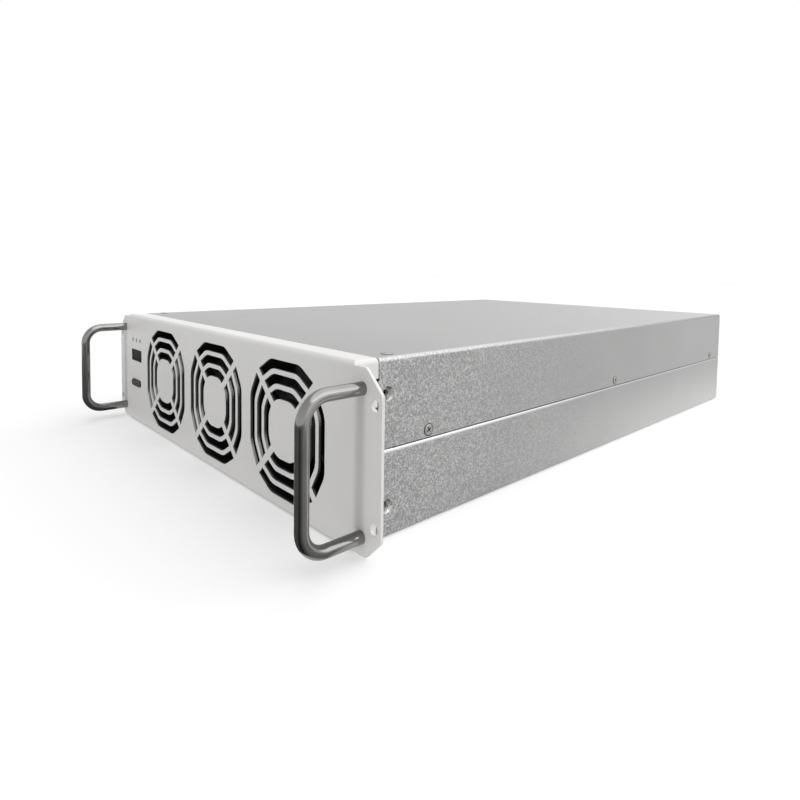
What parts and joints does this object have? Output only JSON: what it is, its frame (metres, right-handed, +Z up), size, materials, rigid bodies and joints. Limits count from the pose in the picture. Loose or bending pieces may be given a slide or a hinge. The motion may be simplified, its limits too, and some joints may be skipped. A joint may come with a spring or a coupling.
{
  "type": "charger power module",
  "caption": "Flat rack power module for a charger: zinc-coated folded case, white front panel with slotted fan grilles, control strip and ears, bent-rod pull handles, sockets behind.",
  "frame": {"origin": "middle of the base, under the middle of the overall box", "axes": "+X to the right seen from the front, +Y from the front panel to the rear sockets, +Z up"},
  "size_m": [0.335, 0.4906, 0.084],
  "materials": {
    "galvanised_sheet": "zinc-coated sheet with a fine spangle",
    "panel_coat": "satin white powder coat",
    "handle_steel": "polished stainless rod",
    "screw_steel": "zinc plated",
    "fan_plastic": "moulded black",
    "copper_wire": "enamelled copper wire",
    "display_lens": "smoked black lens",
    "black_plastic": "moulded black",
    "light_pipe": "clear moulding, unlit",
    "key_plastic": "moulded dark grey",
    "circuit_board": "green solder resist",
    "sink_aluminium": "extruded",
    "can_sleeve": "dark shrink sleeve",
    "ferrite": "sintered ferrite",
    "film_case": "epoxy filled box",
    "contact_metal": "plated copper"
  },
  "bodies": {
    "case": {"bottom_tray": "galvanised_sheet", "top_cover": "galvanised_sheet", "rear_panel": "galvanised_sheet", "panel_bracket_left": "galvanised_sheet", "panel_bracket_right": "galvanised_sheet", "fan_plate": "galvanised_sheet", "front_panel": "panel_coat", "handle_left": "handle_steel", "handle_right": "handle_steel", "handle_screws": "screw_steel", "cover_side_screws": "screw_steel", "cover_top_screws": "screw_steel", "fan_screws": "screw_steel", "front_board_screws": "screw_steel", "board_screws": "screw_steel", "socket_screws": "screw_steel", "front_board_posts": "screw_steel", "board_standoffs": "screw_steel", "fan_frame_left": "fan_plastic", "fan_frame_middle": "fan_plastic", "fan_frame_right": "fan_plastic", "fan_stators": "copper_wire", "boost_choke_windings": "copper_wire", "filter_choke_winding": "copper_wire", "transformer_coils": "copper_wire", "display_window": "display_lens", "display_module": "black_plastic", "key_switch": "black_plastic", "card_header": "black_plastic", "card_chips": "black_plastic", "input_transistors": "black_plastic", "output_transistors": "black_plastic", "output_relay": "black_plastic", "inlet_socket": "black_plastic", "outlet_socket": "black_plastic", "choke_seats": "black_plastic", "status_light_pipes": "light_pipe", "status_leds": "light_pipe", "front_board": "circuit_board", "power_board": "circuit_board", "control_card": "circuit_board", "output_heat_sink": "sink_aluminium", "input_heat_sink": "sink_aluminium", "bulk_capacitors": "can_sleeve", "output_capacitors": "can_sleeve", "boost_choke_cores": "ferrite", "filter_choke_core": "ferrite", "transformer_cores": "ferrite", "resonant_inductors": "ferrite", "filter_capacitors": "film_case", "input_fuses": "film_case", "busbar_positive": "contact_metal", "busbar_negative": "contact_metal", "inlet_pins": "contact_metal", "outlet_pins": "contact_metal"},
    "fan_rotor_left": {"fan_rotor_left": "fan_plastic"},
    "fan_rotor_middle": {"fan_rotor_middle": "fan_plastic"},
    "fan_rotor_right": {"fan_rotor_right": "fan_plastic"},
    "display_key": {"key_button": "key_plastic", "key_plunger": "key_plastic"}
  },
  "joints": [
    {"name": "fan_spin_left", "type": "hinge", "parent": "case", "child": "fan_rotor_left", "pos_m": [-0.0697, -0.1927, 0.042], "axis": [0, 1, 0], "continuous": true},
    {"name": "fan_spin_middle", "type": "hinge", "parent": "case", "child": "fan_rotor_middle", "pos_m": [0.0113, -0.1927, 0.042], "axis": [0, 1, 0], "continuous": true},
    {"name": "fan_spin_right", "type": "hinge", "parent": "case", "child": "fan_rotor_right", "pos_m": [0.0923, -0.1927, 0.042], "axis": [0, 1, 0], "continuous": true},
    {"name": "key_press", "type": "slide", "parent": "case", "child": "display_key", "axis": [0, 1, 0], "range_m": [0, 0.0008], "stiffness_N_per_m": 1500}
  ]
}
